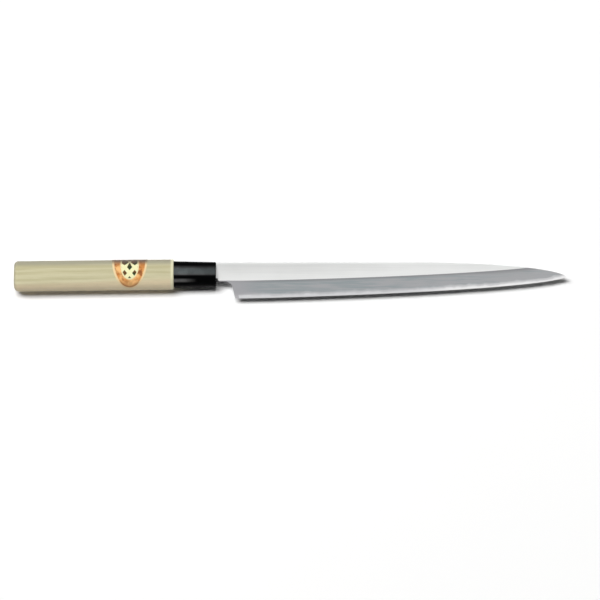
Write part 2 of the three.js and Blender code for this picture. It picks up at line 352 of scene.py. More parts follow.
def modify(piece, kind, **settings):
    """Adds a modifier to a piece, sets it and applies it."""
    take(piece)
    modifier = piece.modifiers.new("step", kind)
    for name, setting in settings.items():
        setattr(modifier, name, setting)
    bpy.ops.object.modifier_apply(modifier=modifier.name)


def cut(piece, cutter, operation="DIFFERENCE", keep=False):
    """Cuts a piece with a Boolean modifier, and deletes the cutter unless it is kept."""
    modify(piece, "BOOLEAN", operation=operation, object=cutter, solver="EXACT")
    if not keep:
        bpy.data.objects.remove(cutter)


hole = loft([
    (-TANG_LENGTH - TANG_GAP, rectangle(TANG_END, TANG_GAP), AXIS),
    (CUT_MARGIN, rectangle(TANG_MOUTH, TANG_GAP), AXIS),
])
cut(grip, hole)
bpy.ops.object.shade_smooth_by_angle(angle=SOFT_ANGLE)
settle(grip, "grip_wood")

# %% [markdown]
# ## Ferrule
#
# The ferrule is sawn from a black buffalo horn, bored and polished. It tapers a little to the mouth. An
# empty circle is extruded forward, inward and back again, which draws the outside, the mouth and the bore
# in one go. The two rings left open at the back are bridged. The bevel operator breaks the outer edge at
# the mouth.

# %% Ferrule: sleeve with an eased mouth
FERRULE_ROUND = 1
ROUND_SEGMENTS = 4  # flat strips in a small rounded edge
NEAR = 1e-3  # how close counts as being there, in millimetres


def at_x(x):
    """A test for edges that lie across the knife at x."""
    return lambda edge: all(abs(vertex.co.x - x) < NEAR for vertex in edge.verts)


ferrule = start_ring(4 * QUARTER_POINTS, "NOTHING")
lay_ring(FERRULE_X, d_section(FERRULE_BACK))
for x, outline in (
    (0, d_section(FERRULE_MOUTH)),
    (0, d_section(FERRULE_MOUTH, -FERRULE_WALL)),
    (FERRULE_X, d_section(FERRULE_BACK, -FERRULE_WALL)),
):
    bpy.ops.mesh.extrude_edges_move()
    lay_ring(x, outline)
pick_edges(at_x(FERRULE_X))
bpy.ops.mesh.bridge_edge_loops()
bpy.ops.mesh.select_all(action="SELECT")
bpy.ops.mesh.normals_make_consistent(inside=False)
rim_radius = FERRULE_MOUTH["left"] - FERRULE_WALL / 4  # past the bore's largest, inside the mouth's smallest


def mouth_rim(edge):
    """A test for the outer edge of the mouth."""
    return at_x(0)(edge) and all(math.hypot(vertex.co.y, vertex.co.z) > rim_radius for vertex in edge.verts)


pick_edges(mouth_rim)
bpy.ops.mesh.bevel(offset=FERRULE_ROUND, segments=ROUND_SEGMENTS, affect="EDGES")
bpy.ops.object.mode_set(mode="OBJECT")
bpy.ops.object.shade_smooth_by_angle(angle=SOFT_ANGLE)
settle(ferrule, "ferrule_horn")

# %% [markdown]
# ## Blade: the forged plate
#
# A smith forges one long plate and files its outline: a straight spine that drops to the tip, a long edge
# with a little belly, the heel, the neck and the tang. In Blender the outline is a Bezier curve. A knot
# has a handle on each side, and a side without one stays straight. The closed curve is turned into a mesh,
# filled, and extruded to the spine's thickness.

# %% Bezier lines, and the outline's sizes
steel_low, steel_high = corners("edge_steel")
TIP = (steel_high[0], -1.5)
HEEL = (TIP[0] - EDGE_LENGTH, steel_low[1])
SPINE_FALL = (155.9, SPINE_HEIGHT)  # where the spine starts to drop
SPINE_HANDLES = ((167.9, SPINE_HEIGHT), (244.5, 7.5))
EDGE_HANDLES = ((36.9, HEEL[1]), (228.1, -11.5))
NECK = (11.15, -5.35)  # corner of the heel's line and the neck
NECK_ROUND = 4
NECK_EASE = 2.8  # curve from the neck to the tang
MOUTH_GAP = 0.3  # neck's start in front of the ferrule
QUADRATIC = 2 / 3  # pull of a handle that rounds a corner evenly
CURVE_STEPS = 72  # straight pieces in each curved side


def toward(a, b, share):
    """The point part of the way from a to b."""
    return tuple(mix(p, q, share) for p, q in zip(a, b))


def draw_line(knots, closed):
    """Draws a Bezier line through (point, handle before, handle after) and turns it into a mesh."""
    bpy.ops.object.select_all(action="DESELECT")
    bpy.ops.curve.primitive_bezier_curve_add()
    line = bpy.context.object
    line.data.dimensions = "3D"
    line.data.resolution_u = CURVE_STEPS
    spline = line.data.splines[0]
    spline.bezier_points.add(len(knots) - len(spline.bezier_points))
    spline.use_cyclic_u = closed
    for knot, (point, before, after) in zip(spline.bezier_points, knots):
        knot.co = point
        knot.handle_left_type = "FREE" if before else "VECTOR"
        knot.handle_right_type = "FREE" if after else "VECTOR"
        if before:
            knot.handle_left = before
        if after:
            knot.handle_right = after
    bpy.ops.object.convert(target="MESH")
    return bpy.context.object


print("edge from", [round(side, 1) for side in HEEL], "to", TIP)

# %% Plate
SPINE_THICKNESS = 2.8
BACK_Z = -SPINE_THICKNESS / 2
STRAIGHT = math.radians(0.01)  # points on a line straighter than this are dissolved

heel_end = toward(NECK, HEEL, NECK_ROUND / math.dist(HEEL, NECK))
neck_end = (NECK[0] - NECK_ROUND, NECK[1])
ease_start = (MOUTH_GAP + NECK_EASE, NECK[1])
ease_corner = (MOUTH_GAP, NECK[1])
ease_end = (MOUTH_GAP, TANG_MOUTH["low"])
outline = [
    ((MOUTH_GAP, SPINE_HEIGHT), None, None),
    (SPINE_FALL, None, SPINE_HANDLES[0]),
    (TIP, SPINE_HANDLES[1], EDGE_HANDLES[1]),
    (HEEL, EDGE_HANDLES[0], None),
    (heel_end, None, toward(heel_end, NECK, QUADRATIC)),
    (neck_end, toward(neck_end, NECK, QUADRATIC), None),
    (ease_start, None, toward(ease_start, ease_corner, QUADRATIC)),
    (ease_end, toward(ease_end, ease_corner, QUADRATIC), None),
    ((-TANG_LENGTH, TANG_END["low"]), None, None),
    ((-TANG_LENGTH, TANG_END["high"]), None, None),
    ((MOUTH_GAP, TANG_MOUTH["high"]), None, None),
]
plate = draw_line([[place and (*place, BACK_Z) for place in knot] for knot in outline], closed=True)
open_shell()
bpy.ops.mesh.dissolve_limited(angle_limit=STRAIGHT)
bpy.ops.mesh.select_all(action="SELECT")
bpy.ops.mesh.edge_face_add()
bpy.ops.mesh.extrude_region_move(TRANSFORM_OT_translate={"value": (0, 0, SPINE_THICKNESS)})
close_shell()
print("plate with", len(plate.data.vertices), "vertices")

# %% [markdown]
# The spine's edges are filed off a little so that a finger can rest on them, and the underside of the neck
# is filed almost round, because a finger curls under it. A Bevel modifier does it by weight: each edge of
# the plate carries a number that says how much of the bevel it gets. The weight fades to nothing towards
# the tip, where the plate runs out into a point, and round the corner from the neck to the heel. Clamping
# is off, because the outline's short edges would otherwise hold the whole bevel back.

# %% Ease the spine and the neck
SPINE_EASE = 0.35
UNDER_EASE = 1.1  # easing of the neck's underside
EASE_FADE = 45  # length before the tip over which the easing fades


def ease_weight(a, b):
    """How much of the easing an edge of the plate gets, from its two ends."""
    middle = (a + b) / 2
    on_rim = abs(a.z - b.z) < NEAR
    on_spine = middle.x > MOUTH_GAP + NEAR and middle.y > TIP[1]
    under_neck = MOUTH_GAP < middle.x < NECK[0] and middle.y < TANG_MOUTH["low"]
    if on_rim and on_spine:
        return SPINE_EASE / UNDER_EASE * min(1, (TIP[0] - middle.x) / EASE_FADE)
    if on_rim and under_neck:
        return min(1, (NECK[0] - middle.x) / NECK_ROUND)
    return 0


weights = plate.data.attributes.new("bevel_weight_edge", "FLOAT", "EDGE")
for edge in plate.data.edges:
    a, b = (plate.data.vertices[i].co for i in edge.vertices)
    weights.data[edge.index].value = ease_weight(a, b)
modify(
    plate,
    "BEVEL",
    width=UNDER_EASE,
    segments=ROUND_SEGMENTS,
    limit_method="WEIGHT",
    use_clamp_overlap=False,
)
print("eased plate with", len(plate.data.vertices), "vertices")

# %% [markdown]
# ## Blade: the ground bevel
#
# The front is ground to one long bevel that leaves a line, the shinogi, along the flat. Seen across the
# blade the bevel is a straight slope from the edge up to that line. So the cutter needs only two lines:
# one a little below the edge and one a little above the shinogi, both on that slope. Bridged, they are the
# ground surface, and extruded upwards they are everything that the wheel takes away. The bevel is slightly
# narrower at the tip.

# %% Grind the bevel
EDGE_LAND = 0.15  # thickness left along the edge
BEVEL_AT_HEEL = 13
BEVEL_AT_TIP = 11.6
OVERSHOOT = 0.25  # how far past the slope's ends the cutter reaches, as a share of the slope
RUN_OUT = 12  # how far past the heel and the tip it reaches, in millimetres


def on_slope(point, share):
    """The place on the bevel above a point of the edge: share 0 is the edge and 1 the shinogi."""
    x, y = point
    width = mix(BEVEL_AT_HEEL, BEVEL_AT_TIP, (x - HEEL[0]) / EDGE_LENGTH)
    return (x, y + share * width, BACK_Z + EDGE_LAND + share * (SPINE_THICKNESS - EDGE_LAND))


def slope_line(share):
    """A line along the bevel at one share of its slope, drawn past both ends of the edge."""
    before = (HEEL[0] - RUN_OUT, HEEL[1])
    after = toward(TIP, EDGE_HANDLES[1], -RUN_OUT / math.dist(TIP, EDGE_HANDLES[1]))
    knots = [
        (before, None, None),
        (HEEL, None, EDGE_HANDLES[0]),
        (TIP, EDGE_HANDLES[1], None),
        (after, None, None),
    ]
    return draw_line([[place and on_slope(place, share) for place in knot] for knot in knots], closed=False)


wheel = slope_line(-OVERSHOOT)
upper = slope_line(1 + OVERSHOOT)
take(wheel)
upper.select_set(True)
bpy.ops.object.join()
open_shell()
bpy.ops.mesh.bridge_edge_loops()
bpy.ops.mesh.select_all(action="SELECT")
bpy.ops.mesh.extrude_region_move(TRANSFORM_OT_translate={"value": (0, 0, 2 * SPINE_THICKNESS)})
close_shell()
cut(plate, wheel)
print("ground plate with", len(plate.data.polygons), "faces")

# %% [markdown]
# ## Blade: the hollow back
#
# The left face is hollowed on a large wheel, the urasuki, so that slices fall away and only a narrow rim
# has to be kept flat on the stone. Across the blade the hollow is a shallow arc of the wheel's radius.
# Along the blade it follows the spine and the edge at the rim's width, starts in a round end and runs out
# before the tip. The cutter is lofted through rings, each an arc with two corners under the blade. They
# stand closer together at both ends, where the hollow changes fastest.

# %% Width and section of the hollow
HOLLOW_RADIUS = 220  # the wheel's radius
HOLLOW_RIM = 1.3  # flat rim left round the hollow
HOLLOW_START = 19
HOLLOW_ROUND = 14  # length of the round end
ARC_POINTS = 15
PAST_RIM = 1.02  # how far each arc is drawn, as a multiple of the half-width
CURVE_SAMPLES = 200  # points at which the spine and the edge are looked up

spine_curve = bezier(SPINE_FALL, *SPINE_HANDLES, TIP, steps=CURVE_SAMPLES)
edge_curve = bezier(HEEL, *EDGE_HANDLES, TIP, steps=CURVE_SAMPLES)


def blade_span(x):
    """Heights of the edge and the spine at x."""
    spine = SPINE_HEIGHT if x < SPINE_FALL[0] else float(np.interp(x, *spine_curve.T))
    return float(np.interp(x, *edge_curve.T)), spine


def hollow_half(x):
    """Half of the hollow's width at x."""
    edge, spine = blade_span(x)
    start = min(1, (x - HOLLOW_START) / HOLLOW_ROUND)
    return ((spine - edge) / 2 - HOLLOW_RIM) * math.sqrt(1 - (1 - start) ** 2)


def hollow_ring(x):
    """The cutter's ring at x: an arc above the back and two corners below it."""
    half = hollow_half(x)
    middle = sum(blade_span(x)) / 2
    across = np.linspace(-PAST_RIM, PAST_RIM, ARC_POINTS) * half
    arc = [(middle + y, BACK_Z + (half**2 - y**2) / (2 * HOLLOW_RADIUS)) for y in across]
    reach = PAST_RIM * half
    below = [(middle + reach, BACK_Z - CUT_MARGIN), (middle - reach, BACK_Z - CUT_MARGIN)]
    return x, arc + below, (middle, BACK_Z - CUT_MARGIN / 2)


print("hollow", round(2 * hollow_half(HOLLOW_START + HOLLOW_ROUND), 1), "mm wide past its round end")

# %% Grind the hollow
HOLLOW_RINGS = 56
LEAST_HALF = 0.5  # half-width at which the hollow ends
STATIONS = 2000  # places at which the half-width is tried

stations = np.linspace(HOLLOW_START, TIP[0], STATIONS)[1:]
stations = [x for x in stations if hollow_half(x) > LEAST_HALF]
shares = (1 - np.cos(np.linspace(0, math.pi, HOLLOW_RINGS))) / 2
xs = stations[0] + (stations[-1] - stations[0]) * shares
cut(plate, loft([hollow_ring(x) for x in xs]))
depth = max(hollow_half(x) for x in xs) ** 2 / (2 * HOLLOW_RADIUS)
print("hollow from", round(xs[0], 1), "to", round(xs[-1], 1), "mm,", round(depth, 2), "mm deep")

# %% [markdown]
# ## Blade: iron and steel
#
# The two layers were welded in the fire before any grinding, so the weld is a plane through the finished
# blade. A large box reaches up to that plane from below. What a copy of the plate shares with it becomes
# the steel, and what it leaves of the plate the iron. The steel starts a little in front of the ferrule,
# so behind that place the iron keeps the full thickness. Last, both are drawn out thinner towards the tip
# and the tang's end, as a smith does it: every vertex moves towards the weld plane.

# %% Split the layers and draw them out
CORE_START = steel_low[0]  # where the hard steel begins
CORE_THICKNESS = 0.72  # hard steel under the iron
WELD_Z = BACK_Z + CORE_THICKNESS
TIP_THICKNESS = 1.9
TANG_TIP_THICKNESS = 2.0


def drawn_out(x):
    """Thickness at x as a share of the thickness at the ferrule."""
    end, thickness = (TIP[0], TIP_THICKNESS) if x > 0 else (-TANG_LENGTH, TANG_TIP_THICKNESS)
    return mix(1, thickness / SPINE_THICKNESS, x / end)


bpy.ops.object.select_all(action="DESELECT")
core_length = TIP[0] + CUT_MARGIN - CORE_START
bpy.ops.mesh.primitive_cube_add(
    size=1,
    location=(CORE_START + core_length / 2, 0, WELD_Z - SPINE_THICKNESS),
    scale=(core_length, EDGE_LENGTH, 2 * SPINE_THICKNESS),
)
core = bpy.context.object
apply_place()
take(plate)
bpy.ops.object.duplicate()
steel = bpy.context.object
cut(steel, core, "INTERSECT", keep=True)
iron = plate
cut(iron, core)
for piece in (iron, steel):
    for vertex in piece.data.vertices:
        vertex.co.z = WELD_Z + (vertex.co.z - WELD_Z) * drawn_out(vertex.co.x)
    print(len(piece.data.polygons), "faces")

# %% [markdown]
# Every face of the blade now gets its finish by the way it faces: the flat and the sides are satin, the
# bevel is misty on the iron and bright on the steel, and the hollow is left as the wheel ground it. Where
# two finishes meet the edge is marked sharp, so that the shading breaks there and nowhere else.

# %% Finishes of the blade's faces
TILT = 0.9  # how far up or down a normal points on a broad face
BEVEL_TILT = -0.1  # sideways part of a normal below which a face belongs to the bevel
SHARP = math.radians(30)  # edges steeper than this are marked sharp


def finish_of(face):
    """Names what the grinder or the polisher left on a face."""
    middle = face.calc_center_median()
    back = WELD_Z - CORE_THICKNESS * drawn_out(middle.x)
    if face.normal.z > TILT:
        return "bevel" if face.normal.y < BEVEL_TILT else "flat"
    if face.normal.z < -TILT:
        return "hollow" if middle.z > back + NEAR else "rim"
    return "side"


def finish_faces(piece, order):
    """Sets each face's material number from its finish, and marks the edges between finishes sharp."""
    mesh = bmesh.new()
    mesh.from_mesh(piece.data)
    for face in mesh.faces:
        face.material_index = order[finish_of(face)]
        face.smooth = True
    for edge in mesh.edges:
        finishes = {finish_of(face) for face in edge.link_faces}
        edge.smooth = len(finishes) == 1 and edge.calc_face_angle() < SHARP
    mesh.to_mesh(piece.data)
    mesh.free()


finish_faces(iron, dict(flat=0, side=0, rim=0, hollow=0, bevel=1))
finish_faces(steel, dict(bevel=0, rim=0, flat=0, side=0, hollow=1))
settle(iron, "blade_body")
settle(steel, "blade_steel")

# %% [markdown]
# ## Label
#
# An oval of paper is folded over the spine side of the grip and glued on. To wrap it, every place on the
# paper is given as a place along the grip and a distance walked round the section from the top. Two
# helpers do the walking. How far the paper reaches down each side follows from how low its ends hang in
# the side view.

# %% Walk round the grip
LABEL_DROP = 20.6  # fold to the lower end, seen from the side
LABEL_LIFT = 0.03  # film of glue under the paper
label_low, label_high = corners("label")
LABEL_WIDTH = label_high[0] - label_low[0]
LABEL_X = (label_low[0] + label_high[0]) / 2


def grip_walk(x):
    """The grip's closed outline at x, over the glue, and the distance walked along it at each point."""
    outline = d_section(grip_section(x), LABEL_LIFT)
    ring = np.vstack([outline, outline[:1]])
    steps = np.linalg.norm(np.diff(ring, axis=0), axis=1)
    return ring, np.concatenate([[0], np.cumsum(steps)])


def walk(x, distance):
    """The (y, z) place a distance from the top: positive by the ridge, negative the other way."""
    ring, run = grip_walk(x)
    place = distance % run[-1]
    return [float(np.interp(place, run, ring[:, axis])) for axis in (0, 1)]


ring, run = grip_walk(LABEL_X)
label_top = float(ring[0, 0])
half = 2 * QUARTER_POINTS
reach_right = np.interp(LABEL_DROP - label_top, -ring[: half + 1, 0], run[: half + 1])
reach_left = run[-1] - np.interp(label_top - LABEL_DROP, ring[half:, 0], run[half:])
print("label", round(reach_right, 1), "mm down the ridge side,", round(reach_left, 1), "mm down the other")

# %% [markdown]
# The paper itself is a flat grid, and each of its points is laid where the walk ends. Seen from the side
# the oval is half an ellipse, so the grid gets narrower the further it hangs down, and its last rows close
# to a point. The flat places are kept as the UV map, for the print. A Solidify modifier gives the paper
# its thickness.

# %% Label: an oval wrapped over the wood
LABEL_GRID = (24, 80)
LABEL_THICKNESS = 0.12
PRINT_SIDE = 60  # side of the square of paper that the UV map covers
MIDDLE = 0.5  # middle of the UV map, and of a noise's values
CLOSED_ROW = 0.01  # points nearer than this are one
PAPER_ANGLE = math.radians(40)  # edges flatter than this are shaded smooth

bpy.ops.object.select_all(action="DESELECT")
bpy.ops.mesh.primitive_grid_add(x_subdivisions=LABEL_GRID[0], y_subdivisions=LABEL_GRID[1], size=2)
label = bpy.context.object
print_place = {}
for vertex in label.data.vertices:
    along, around = vertex.co.x, -math.sin(vertex.co.y * math.pi / 2)
    distance = around * (reach_right if around > 0 else reach_left)
    drop = label_top - walk(LABEL_X, distance)[0]
    width = LABEL_WIDTH * math.sqrt(max(0, 1 - (drop / LABEL_DROP) ** 2))
    x = LABEL_X + along * width / 2
    vertex.co = (x, *walk(x, distance))
    print_place[vertex.index] = (MIDDLE + (x - LABEL_X) / PRINT_SIDE, MIDDLE + distance / PRINT_SIDE)
for loop in label.data.loops:
    label.data.uv_layers[0].data[loop.index].uv = print_place[loop.vertex_index]
take(label)
open_shell()
bpy.ops.mesh.remove_doubles(threshold=CLOSED_ROW)
bpy.ops.object.mode_set(mode="OBJECT")
modify(label, "SOLIDIFY", thickness=LABEL_THICKNESS, offset=1)
open_shell()
close_shell()
bpy.ops.object.shade_smooth_by_angle(angle=PAPER_ANGLE)
settle(label, "label_paper")

# %% [markdown]
# ## Building materials from nodes
#
# Nothing here is painted from a picture: every surface is a small network of nodes. One helper fills a
# node's inputs, with values or with other nodes' outputs. Another adds a node, sets it and fills it.

# %% Add and fill nodes
def fill(tree, node, inputs):
    """Fills a node's inputs with values or with other nodes' outputs."""
    for name, value in inputs.items():
        if isinstance(value, bpy.types.NodeSocket):
            tree.links.new(value, node.inputs[name])
        else:
            node.inputs[name].default_value = value


def add(tree, kind, inputs=None, **settings):
    """Adds a node, sets its properties and fills its inputs."""
    made = tree.nodes.new("ShaderNode" + kind)
    for name, setting in settings.items():
        setattr(made, name, setting)
    fill(tree, made, inputs or {})
    return made


print("nodes can be added")

# %% [markdown]
# The other helpers are short names for the nodes that come up again and again: a sum, a change of range,
# a band between two limits, a length, and colours laid one over the other.

# %% Sums, ranges and layers of colour
MIX_SHARE, MIX_UNDER, MIX_OVER, MIX_RESULT = 0, 6, 7, 2  # the Mix node's sockets for colours


def calc(tree, operation, a, b=0.0):
    """One sum of two values."""
    return add(tree, "Math", {0: a, 1: b}, operation=operation).outputs[0]


def remap(tree, value, low, high, to_low=0.0, to_high=1.0):
    """Moves a range of values to another, softly and without leaving the new one."""
    inputs = {"Value": value, "From Min": low, "From Max": high, "To Min": to_low, "To Max": to_high}
    return add(tree, "MapRange", inputs, interpolation_type="SMOOTHSTEP").outputs[0]


def band(tree, value, start, end):
    """1 between two limits and 0 outside them. Each limit is the range over which it changes."""
    return calc(tree, "MULTIPLY", remap(tree, value, *start), remap(tree, value, *end, 1.0, 0.0))


def length(tree, x, y):
    """Length of the line from zero to (x, y)."""
    line = add(tree, "CombineXYZ", {"X": x, "Y": y}).outputs[0]
    return add(tree, "VectorMath", {0: line}, operation="LENGTH").outputs["Value"]


def layers(tree, colour, *coats):
    """A colour with others laid over it, each with its share."""
    for share, coat in coats:
        under, over = (c if isinstance(c, bpy.types.NodeSocket) else (*c, 1) for c in (colour, coat))
        inputs = {MIX_SHARE: share, MIX_UNDER: under, MIX_OVER: over}
        colour = add(tree, "Mix", inputs, data_type="RGBA").outputs[MIX_RESULT]
    return colour


print("short names for nodes ready")

# %% [markdown]
# A few effects are wanted by more than one material, and those become node groups. The first gives a place
# on the knife in the millimetres used above. The second draws long streaks, which is wood fibre, a
# polisher's strokes or the layers in horn depending on its size. The third draws soft patches.

# %% Shared groups: place, streaks and patches
STREAK_NOISE = {"Scale": 1.0, "Detail": 3.0, "Roughness": 0.6}
PATCH_NOISE = {"Detail": 2.0, "Roughness": 0.5}


def new_group(name, inputs, outputs):
    """A node group with named sockets, and its two ends."""
    tree = bpy.data.node_groups.new(name, "ShaderNodeTree")
    for way, sockets in (("INPUT", inputs), ("OUTPUT", outputs)):
        for socket, kind in sockets.items():
            tree.interface.new_socket(name=socket, in_out=way, socket_type="NodeSocket" + kind)
    return tree, tree.nodes.new("NodeGroupInput").outputs, tree.nodes.new("NodeGroupOutput")


def use(tree, group, **inputs):
    """Places a group in a tree."""
    return add(tree, "Group", inputs, node_tree=group).outputs


place_group, _, end = new_group("knife_place", {}, dict(Place="Vector", X="Float", Y="Float", Z="Float"))
where = add(place_group, "TexCoord").outputs["Object"]
scaling = {"Vector": where, "Location": -ZERO / MM, "Scale": (1 / MM, 1 / MM, 1 / MM)}
where = add(place_group, "Mapping", scaling).outputs[0]
sides = add(place_group, "SeparateXYZ", {0: where}).outputs
fill(place_group, end, {"Place": where, **{axis: sides[axis] for axis in "XYZ"}})

streak_sockets = dict(Place="Vector", Length="Float", Width="Float", Seed="Float")
streak_group, given, end = new_group("long_streaks", streak_sockets, dict(Value="Float"))
thin = calc(streak_group, "DIVIDE", 1.0, given["Width"])
long = calc(streak_group, "DIVIDE", 1.0, given["Length"])
stretch = add(streak_group, "CombineXYZ", {"X": long, "Y": thin, "Z": thin}).outputs[0]
where = add(streak_group, "VectorMath", {0: given["Place"], 1: stretch}, operation="MULTIPLY").outputs[0]
inputs = {"Vector": where, "W": given["Seed"], **STREAK_NOISE}
fill(streak_group, end, {"Value": add(streak_group, "TexNoise", inputs, noise_dimensions="4D").outputs[0]})

patch_sockets = dict(Place="Vector", Size="Float", Seed="Float")
patch_group, given, end = new_group("soft_patches", patch_sockets, dict(Value="Float"))
fine = calc(patch_group, "DIVIDE", 1.0, given["Size"])
inputs = {"Vector": given["Place"], "W": given["Seed"], "Scale": fine, **PATCH_NOISE}
fill(patch_group, end, {"Value": add(patch_group, "TexNoise", inputs, noise_dimensions="4D").outputs[0]})
print(len(bpy.data.node_groups), "node groups")

# %% [markdown]
# Last come the helpers that a material calls: one starts it, and one fills its shader and gives it to its
# piece. A noise mostly keeps to the middle of its range, so it is read between two usual values, or as a
# swing to both sides of the middle. A soft change is kept as one range: where it starts and ends, and then
# the shares at its two ends where they are not 0 and 1.

# %% Helpers for a material
NOISE_RANGE = (0.3, 0.7)  # values that a noise mostly keeps to


def new_material(name):
    """A material, its node tree and the place on the knife."""
    material = bpy.data.materials.new(name)
    material.use_nodes = True
    return material, material.node_tree, use(material.node_tree, place_group)


def dress(piece, material, inputs):
    """Fills a material's shader, and gives the material to a piece."""
    tree = material.node_tree
    fill(tree, tree.nodes["Principled BSDF"], inputs)
    piece.data.materials.append(material)
    print(material.name, "uses", len(tree.nodes), "nodes")


def streaks(tree, where, kind):
    """Streaks of one kind, given by its length, width and seed."""
    return use(tree, streak_group, Place=where, **kind)["Value"]


def patches(tree, where, kind):
    """Patches of one kind, given by its size and seed."""
    return use(tree, patch_group, Place=where, **kind)["Value"]


def vary(tree, noise, limits):
    """A value that follows a noise from one limit to the other."""
    return remap(tree, noise, *NOISE_RANGE, *limits)


def swing(tree, value, reach):
    """A value from 0 to 1 as a distance to both sides of its middle."""
    return calc(tree, "MULTIPLY", calc(tree, "SUBTRACT", value, MIDDLE), reach)


def average(tree, a, b):
    """The mean of two values."""
    return calc(tree, "DIVIDE", calc(tree, "ADD", a, b), 2.0)


print("material helpers ready")

# %% [markdown]
# ## Wood
#
# Magnolia is pale, greenish and soft, with fine straight fibres and hardly any figure. The growth rings
# are distances from the tree's heart, which lay well below the stick, with a slow wave in them. Read
# through a one-dimensional noise they come out as bands of uneven width: long lines on the sides, arcs on
# the butt. Fibres are streaks at two sizes, and pores are the shortest and thinnest ones.

# %% Magnolia: rings, fibres and pores
HEART = (-46.0, -22.0)  # the tree's heart beside the knife, in y and z
RING_WIDTH = 2.4
RING_WAVE = dict(Length=90.0, Width=14.0, Seed=1.0)
RING_BEND = 9.0  # how far the wave bends the rings
RING_NOISE = {"Scale": 1.0, "Detail": 1.5, "Roughness": 0.5}
COARSE_FIBRE = dict(Length=45.0, Width=1.4, Seed=2.0)
FINE_FIBRE = dict(Length=18.0, Width=0.35, Seed=3.0)
PORES = dict(Length=4.0, Width=0.16, Seed=17.0)
GRAIN = (0.38, 0.62)  # values over which the grain goes from dark to light
WOOD_DARK = (0.46, 0.425, 0.26)
WOOD_LIGHT = (0.545, 0.508, 0.332)

wood, tree, place = new_material("magnolia_wood")
wave = streaks(tree, place["Place"], RING_WAVE)
beside, above = (calc(tree, "SUBTRACT", place[axis], heart) for axis, heart in zip("YZ", HEART))
radius = calc(tree, "ADD", length(tree, beside, above), calc(tree, "MULTIPLY", wave, RING_BEND))
inputs = {"W": calc(tree, "DIVIDE", radius, RING_WIDTH), **RING_NOISE}
rings = add(tree, "TexNoise", inputs, noise_dimensions="1D").outputs[0]
coarse, fine, pores = (streaks(tree, place["Place"], kind) for kind in (COARSE_FIBRE, FINE_FIBRE, PORES))
grain = layers(tree, WOOD_DARK, (remap(tree, average(tree, rings, coarse), *GRAIN), WOOD_LIGHT))
print("bare wood uses", len(tree.nodes), "nodes")

# %% [markdown]
# Bare wood keeps the marks of use, and they are laid over the grain one after another, with painted light
# and shade among them. Below the ridge it is pinker, and that pink is also painted light, brighter than
# the wood so that the side that faces down reads as lit. A pale line along the ridge is a painted highlight,
# and painted shade darkens the wood along the top. The wood is darker at the butt's end. The shoulder's
# rounding is painted lighter, a painted highlight. Inside the ferrule the hot tang has charred the tenon. A
# small bump from the fine fibres finishes it.

# %% Magnolia: marks of use, painted light and painted shade
# partly the wood's own pink, partly painted light on the side that faces down
WOOD_PINK_AND_LIGHT = (0.835, 0.70, 0.475)
# painted highlight, on the ridge and on the shoulder's rounding
WOOD_PAINTED_HIGHLIGHT = (0.74, 0.72, 0.50)
WOOD_FIBRE = (0.42, 0.37, 0.22)
# painted shade along the top edge, and the darker butt end
WOOD_EDGE_DARK = (0.30, 0.285, 0.215)
CHAR = (0.02, 0.016, 0.012)
LOWER_PINK_AND_LIGHT = (-2.0, 4.0, 0.0, 0.85)  # depths below the ridge over which the pink and its painted light come in
RIDGE_HIGHLIGHT_START = (-1.6, 0.0)  # depths over which the painted highlight along the ridge starts
RIDGE_HIGHLIGHT_END = (0.0, 1.6)  # and ends
RIDGE_HIGHLIGHT_WAVE = (0.35, 0.65, 0.15, 0.5)  # values of the slow wave over which the painted highlight gets stronger
DARK_FIBRE = (0.42, 0.3, 0.0, 0.5)  # values over which a fine fibre gets dark
DARK_PORE = (0.42, 0.3, 0.0, 0.45)
TOP_EDGE_SHADE = (1.4, 5.0, 0.85, 0.0)  # painted shade: distances from the top edge over which it fades
BUTT_END_DARKER = (BUTT_X, BUTT_X + 2.4, 0.55, 0.0)  # stretch by the butt over which the wood is darker
SHOULDER_HIGHLIGHT = (SHOULDER_X - 3.0, SHOULDER_X - 1.0, 0.0, 0.8)  # painted highlight: stretch over which the shoulder's rounding gets lighter
CHARRED = (SHOULDER_X + 2.0, -3.0)  # stretch over which the tenon gets black
WOOD_ROUGHNESS = (0.68, 0.55)
FIBRE_RELIEF = {"Strength": 0.25, "Distance": 0.0001}


def along_grip(side):
    """A height that runs from the butt's value to the shoulder's."""
    return remap(tree, place["X"], BUTT_X, SHOULDER_X, BUTT[side], GRIP_FRONT[side])


below = calc(tree, "SUBTRACT", along_grip("ridge"), place["Y"])
from_top = calc(tree, "SUBTRACT", along_grip("rise"), place["Y"])
# painted highlight along the ridge
ridge_highlight = calc(tree, "MULTIPLY", band(tree, below, RIDGE_HIGHLIGHT_START, RIDGE_HIGHLIGHT_END), remap(tree, wave, *RIDGE_HIGHLIGHT_WAVE))
# the pink carries painted light, the ridge line and the shoulder are painted highlights, the top edge is
# painted shade
colour = layers(
    tree,
    grain,
    (remap(tree, below, *LOWER_PINK_AND_LIGHT), WOOD_PINK_AND_LIGHT),
    (ridge_highlight, WOOD_PAINTED_HIGHLIGHT),
    (remap(tree, fine, *DARK_FIBRE), WOOD_FIBRE),
    (remap(tree, pores, *DARK_PORE), WOOD_FIBRE),
    (remap(tree, from_top, *TOP_EDGE_SHADE), WOOD_EDGE_DARK),
    (remap(tree, place["X"], *BUTT_END_DARKER), WOOD_EDGE_DARK),
    (remap(tree, place["X"], *SHOULDER_HIGHLIGHT), WOOD_PAINTED_HIGHLIGHT),
    (remap(tree, place["X"], *CHARRED), CHAR),
)
dress(grip, wood, {
    "Base Color": colour,
    "Roughness": vary(tree, coarse, WOOD_ROUGHNESS),
    "Specular IOR Level": 0.3,
    "Normal": add(tree, "Bump", {"Height": fine, **FIBRE_RELIEF}).outputs[0],
})

# %% [markdown]
# ## Horn
#
# Buffalo horn is almost black, with faint grey layers along it. Its shine is a clear coat over a dull
# body, so that the polish can differ from place to place: it is best along the crown and in a narrow band
# below the ridge, where a finger has dulled it towards the mouth. Soft patches keep it uneven, and the
# mouth is a little worn.

